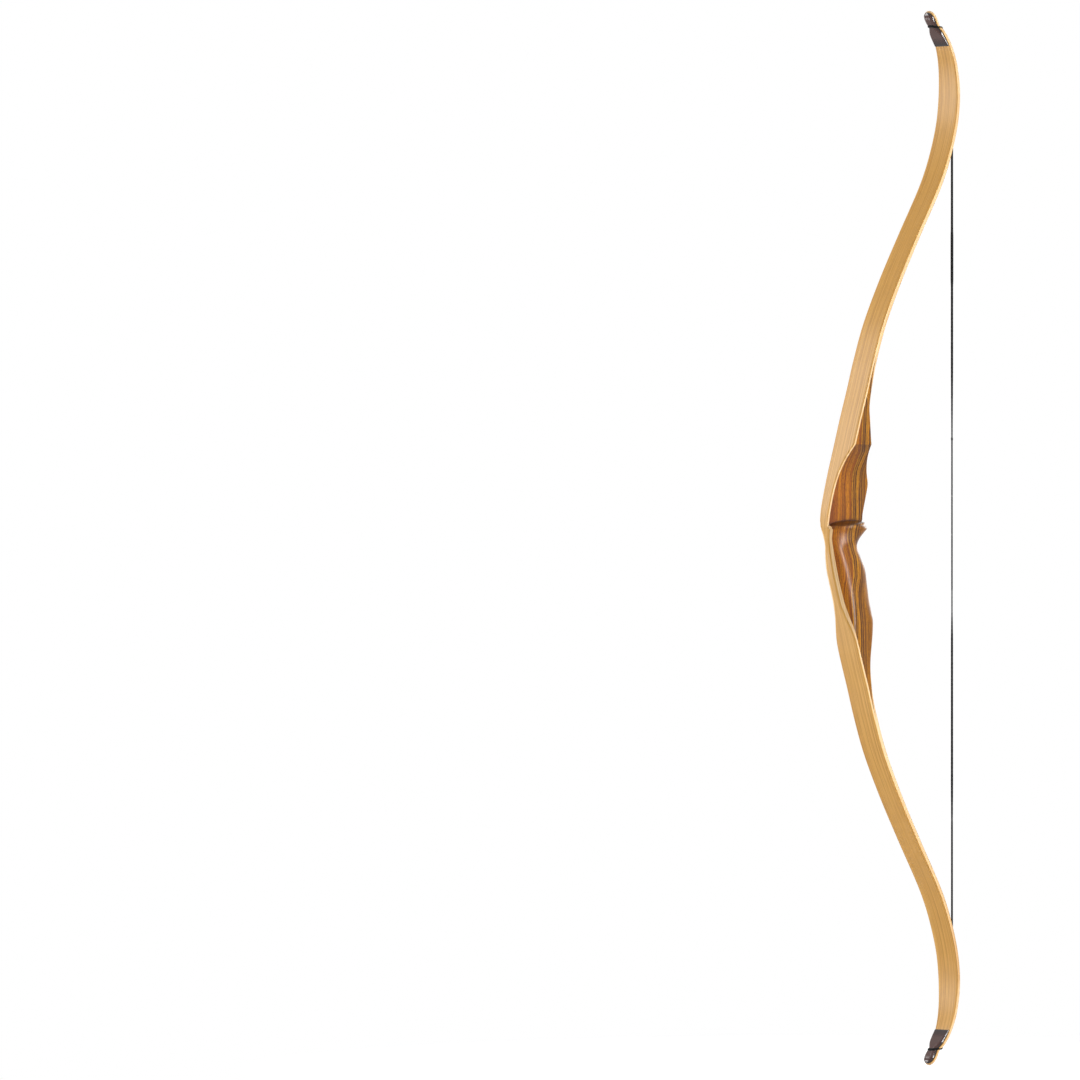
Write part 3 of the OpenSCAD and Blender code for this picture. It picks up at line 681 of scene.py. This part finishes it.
def end_tree(tree, geometry, material):
    """Makes the geometry real, sets its material and gives it out."""
    real = node(tree, "GeometryNodeRealizeInstances", {"Geometry": geometry})
    finish = node(tree, "GeometryNodeSetMaterial", {"Geometry": real.outputs[0],
                                                    "Material": material})
    smooth = node(tree, "GeometryNodeSetShadeSmooth", {"Geometry": finish.outputs[0]})
    node(tree, "NodeGroupOutput", {"Geometry": smooth.outputs[0]})


# Serving: a round cord along the line whose surface rises and falls with each turn of thread.
serving_tree, given = new_tree("wound_serving", ("Pitch", "Float"), ("Relief", "Float"),
                               ("Sides", "Int"), ("Material", "Material"))
line = node(serving_tree, "GeometryNodeMeshToCurve", {"Mesh": given["Geometry"]})
half_pitch = node(serving_tree, "ShaderNodeMath", {0: given["Pitch"], 1: .5}, operation="MULTIPLY")
turns = node(serving_tree, "GeometryNodeResampleCurve", {
    "Curve": line.outputs[0], "Length": half_pitch.outputs[0]}, mode="LENGTH")
cord_radius = node(serving_tree, "GeometryNodeInputNamedAttribute", {"Name": "half"},
                   data_type="FLOAT")
odd = node(serving_tree, "ShaderNodeMath", {0: node(
    serving_tree, "GeometryNodeInputIndex").outputs[0], 1: 2.0}, operation="MODULO")
dip = node(serving_tree, "ShaderNodeMath", {0: odd.outputs[0], 1: given["Relief"]},
           operation="MULTIPLY")
radius = node(serving_tree, "ShaderNodeMath", {0: cord_radius.outputs[0], 1: dip.outputs[0]},
              operation="SUBTRACT")
round_section = node(serving_tree, "GeometryNodeCurvePrimitiveCircle", {
    "Resolution": given["Sides"], "Radius": 1.0})
wound = node(serving_tree, "GeometryNodeCurveToMesh", {
    "Curve": turns.outputs[0], "Profile Curve": round_section.outputs[0],
    "Scale": radius.outputs[0], "Fill Caps": True})
end_tree(serving_tree, wound.outputs[0], given["Material"])

# Strands: copies of the line, each wound round it at the cord's lay.
FULL_TURN = 2 * math.pi
STRAND_SHARE = .29   # a strand's radius as a share of the cord's, for eight strands
strand_tree, given = new_tree("laid_strands", ("Strands", "Int"), ("Lay", "Float"),
                              ("Step", "Float"), ("Material", "Material"))
line = node(strand_tree, "GeometryNodeMeshToCurve", {"Mesh": given["Geometry"]})
fine_line = node(strand_tree, "GeometryNodeResampleCurve", {
    "Curve": line.outputs[0], "Length": given["Step"]}, mode="LENGTH")
copies = node(strand_tree, "GeometryNodeDuplicateElements", {
    "Geometry": fine_line.outputs[0], "Amount": given["Strands"]}, domain="SPLINE")
start_share = node(strand_tree, "ShaderNodeMath", {
    0: copies.outputs["Duplicate Index"], 1: given["Strands"]}, operation="DIVIDE")
start_angle = node(strand_tree, "ShaderNodeMath", {0: start_share.outputs[0], 1: FULL_TURN},
                   operation="MULTIPLY")
gone = node(strand_tree, "GeometryNodeSplineParameter").outputs["Length"]
turns = node(strand_tree, "ShaderNodeMath", {0: gone, 1: given["Lay"]}, operation="DIVIDE")
run = node(strand_tree, "ShaderNodeMath", {0: turns.outputs[0], 1: FULL_TURN}, operation="MULTIPLY")
angle = node(strand_tree, "ShaderNodeMath", {0: start_angle.outputs[0], 1: run.outputs[0]},
             operation="ADD")
cord_radius = node(strand_tree, "GeometryNodeInputNamedAttribute", {"Name": "half"},
                   data_type="FLOAT")
orbit = node(strand_tree, "ShaderNodeMath", {0: cord_radius.outputs[0], 1: 1 - STRAND_SHARE},
             operation="MULTIPLY")
turned = [node(strand_tree, "ShaderNodeMath", {0: orbit.outputs[0], 1: node(
    strand_tree, "ShaderNodeMath", {0: angle.outputs[0]}, operation=kind).outputs[0]},
    operation="MULTIPLY").outputs[0] for kind in ("COSINE", "SINE")]
offset = node(strand_tree, "ShaderNodeCombineXYZ", {"X": turned[0], "Y": turned[1]})
laid = node(strand_tree, "GeometryNodeSetPosition", {"Geometry": copies.outputs[0],
                                                     "Offset": offset.outputs[0]})
strand_radius = node(strand_tree, "ShaderNodeMath", {0: cord_radius.outputs[0], 1: STRAND_SHARE},
                     operation="MULTIPLY")
round_section = node(strand_tree, "GeometryNodeCurvePrimitiveCircle", {
    "Resolution": 6, "Radius": 1.0})
cord = node(strand_tree, "GeometryNodeCurveToMesh", {
    "Curve": laid.outputs[0], "Profile Curve": round_section.outputs[0],
    "Scale": strand_radius.outputs[0], "Fill Caps": True})
end_tree(strand_tree, cord.outputs[0], given["Material"])


def cord_piece(name, points, halves, tree, settings, closed=False):
    """A line of points with the cord's half thickness at each, turned into a mesh by a tree."""
    mesh = bpy.data.meshes.new(name)
    n = len(points)
    mesh.from_pydata(points, [(i, (i + 1) % n) for i in range(n if closed else n - 1)], [])
    mesh.attributes.new("half", "FLOAT", "POINT").data.foreach_set("value", halves)
    piece = in_scene(name, mesh)
    modifier = piece.modifiers.new("cord", "NODES")
    modifier.node_group = tree
    for item in tree.interface.items_tree:
        if item.in_out == "INPUT" and item.name in settings:
            modifier[item.identifier] = settings[item.name]
    plain_mesh(piece)
    return piece


def straight(rows, round_ends=(False, False), step=2.0):
    """Points down the string's line from rows of (height, diameter), with rounded ends if asked."""
    top, bottom = rows[0][0], rows[-1][0]
    n = max(2, round((top - bottom) / step))
    heights = [top + (bottom - top) * i / n for i in range(n + 1)]
    for asked, end, inward in ((round_ends[0], top, -1), (round_ends[1], bottom, 1)):
        if asked:
            heights += [end + inward * .3 * k for k in range(1, 5)]
    heights = sorted(set(heights), reverse=True)
    halves = []
    for z in heights:
        for (z0, d0), (z1, d1) in zip(rows, rows[1:]):
            if z >= z1:
                break
        half = (d0 + (d1 - d0) * (z0 - z) / (z0 - z1)) / 2
        for asked, end in zip(round_ends, (top, bottom)):
            gone = half - abs(z - end)
            if asked and gone > 0:
                half = math.sqrt(max(half * half - gone * gone, .01))
        halves.append(half / 1000)
    return [Vector((0, BRACE, z)) / 1000 for z in heights], halves


# The real thread's turns are about .5 mm apart; .6 mm shows.
served = {"Pitch": .0006, "Relief": .00007, "Sides": 14, "Material": waxed_thread}
laid_cord = {"Strands": 8, "Lay": .045, "Step": .002, "Material": waxed_thread}
for up, half in ((1, "upper"), (-1, "lower")):
    path = loop_points(up, 12)
    loop = cord_piece(half + "_served_loop", path, [LOOP_CORD_RADIUS / 1000] * len(path),
                      serving_tree, served, closed=True)
    at(up * LOOP_PATH[-1][0], 0, LOOP_PATH[-1][2])
    at(up * LOOP_PATH[0][0], 0, LOOP_PATH[0][2])
    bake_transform(loop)
    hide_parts(half + "_string_loop")

    tail = []
    for i in range(TAIL_STEPS + 1):
        d = TAIL_FROM_D - (TAIL_FROM_D - TAIL_TO_D) * i / TAIL_STEPS
        p = at(up * d, 0, limb_thickness(d) + LOOP_CORD_RADIUS + STRING_GAP)
        tail.append(Vector((0, min(p.y, BRACE / 1000), p.z)))
    down, halves = straight(SERVED_END[up])
    if up < 0:
        down, halves = down[::-1], halves[::-1]
    serving = cord_piece(half + "_served_end", tail + down,
                         [LOOP_CORD_RADIUS / 1000] * len(tail) + halves, serving_tree, served)
    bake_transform(serving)
    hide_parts(half + "_loop_tail", half + "_end_serving")

    strands = cord_piece(half + "_laid_strands", *straight(BARE_STRANDS[up]), strand_tree, laid_cord)
    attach(strands, half + "_string")
    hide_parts(half + "_strands")

    centre = cord_piece(half + "_served_centre", *straight(SERVED_CENTRE[up], (up < 0, up > 0)),
                        serving_tree, served)
    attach(centre, half + "_string")
    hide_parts(half + "_centre_serving")

hold = cord_piece("served_fingers_hold", *straight(HELD, (True, True)), serving_tree, served)
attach(hold, "nocking_section")
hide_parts("nocking_serving")

# ---- Camera ----
# The photograph's view: level with the handle, 45 degrees round to the window side, the bow at the
# right of the frame. The frame is taken as 1080 by 1080.
FRAME, BOW_COLUMN = 1080, 890   # in pixels
METRES_PER_PIXEL, CAMERA_AWAY, SENSOR = .0013485, 12.0, 36
seen_at_column = Vector((0, .0656, .00875))   # shows at BOW_COLUMN, halfway up the frame
away = Vector((1, -1, 0)).normalized()
pan = math.atan((BOW_COLUMN - FRAME / 2) * METRES_PER_PIXEL / CAMERA_AWAY)
camera = in_scene("camera", bpy.data.cameras.new("camera"))
camera.location = seen_at_column + away * CAMERA_AWAY
camera.rotation_euler = (math.pi / 2, 0, math.pi / 4 + pan)
camera.data.sensor_width = SENSOR
camera.data.lens = SENSOR * CAMERA_AWAY * math.cos(pan) / METRES_PER_PIXEL / FRAME
bpy.context.scene.camera = camera

# ---- Studio ----
# A level sheet of white paper below the bow, white surroundings and large soft lamps. What the
# camera, gloss and glass see of the surroundings is white; what lights the bow is much dimmer.
WHITE = srgb("#FFFFFF")
SURROUND_LIGHT = .38


def seen_directly(tree):
    """1 for a ray from the camera, off gloss or through glass, and 0 for any other."""
    ray = node(tree, "ShaderNodeLightPath").outputs
    seen = ray["Is Camera Ray"]
    for other in ("Is Glossy Ray", "Is Transmission Ray"):
        seen = node(tree, "ShaderNodeMath", {0: seen, 1: ray[other]}, operation="MAXIMUM").outputs[0]
    return seen


bpy.context.scene.view_settings.view_transform = "Standard"
world = bpy.data.worlds.new("studio_white")
bpy.context.scene.world = world
world.use_nodes = True
tree = world.node_tree
tree.nodes.clear()
strength = node(tree, "ShaderNodeMapRange", {"Value": seen_directly(tree), "To Min": SURROUND_LIGHT,
                                             "To Max": 1.0})
background = node(tree, "ShaderNodeBackground", {"Color": WHITE, "Strength": strength.outputs[0]})
node(tree, "ShaderNodeOutputWorld", {"Surface": background.outputs[0]})

# Matt white paper, lifted to the white of the surroundings where it is seen from above, which also
# hides the thin bow's faint shadow. From about a metre out it is pure white and has no edge.
FLOOR_BELOW, FLOOR_HALF = .0005, 6
PAPER_LIFT, FADE_FROM, FADE_TO = .5, .75, 1.1
floor_z = cad_box[0].z - FLOOR_BELOW
floor = in_scene("floor", bpy.data.meshes.new("floor"))
floor.data.from_pydata([(x * FLOOR_HALF, y * FLOOR_HALF, floor_z)
                        for x, y in ((-1, -1), (1, -1), (1, 1), (-1, 1))], [], [(0, 1, 2, 3)])
paper, tree, shader = new_material("white_paper_backdrop")
shader.inputs["Base Color"].default_value = srgb("#E7E7E7")
shader.inputs["Roughness"].default_value = .9
shader.inputs["Specular IOR Level"].default_value = 0
shader.inputs["Emission Color"].default_value = WHITE
seen = seen_directly(tree)
lift = node(tree, "ShaderNodeMath", {0: seen, 1: PAPER_LIFT}, operation="MULTIPLY")
tree.links.new(lift.outputs[0], shader.inputs["Emission Strength"])
out_from_middle = node(tree, "ShaderNodeVectorMath", {
    0: node(tree, "ShaderNodeTexCoord").outputs["Object"]}, operation="LENGTH")
far = node(tree, "ShaderNodeMapRange", {"Value": out_from_middle.outputs["Value"],
                                        "From Min": FADE_FROM, "From Max": FADE_TO},
           interpolation_type="SMOOTHSTEP")
far = node(tree, "ShaderNodeMath", {0: far.outputs[0], 1: seen}, operation="MULTIPLY")
white = node(tree, "ShaderNodeEmission", {"Color": WHITE, "Strength": 1.0})
both = node(tree, "ShaderNodeMixShader", {0: far.outputs[0], 1: shader.outputs[0],
                                          2: white.outputs[0]})
tree.links.new(both.outputs[0], tree.nodes["Material Output"].inputs["Surface"])
floor.data.materials.append(paper)

LAMPS_AIM = Vector((0, .05, 0))
for name, place, size, watts in (("upper_left_softbox", (-1.25, -1.15, .75), (.6, .9), 15),
                                 ("lower_left_softbox", (-1.25, -1.15, -.48), (.6, .38), 8),
                                 ("right_softbox", (3.15, 1.0, .05), (.3, 2.6), 112),
                                 ("rear_softbox", (-1.2, 3.2, 1.2), (1.6, 2.0), 30),
                                 ("top_softbox", (0, -.3, 3.2), (2.0, 2.0), 15)):
    lamp = in_scene(name, bpy.data.lights.new(name, "AREA"))
    lamp.data.shape = "RECTANGLE"
    lamp.data.size, lamp.data.size_y = size
    lamp.data.energy = watts
    lamp.location = place
    lamp.rotation_euler = (LAMPS_AIM - Vector(place)).to_track_quat("-Z", "Y").to_euler()
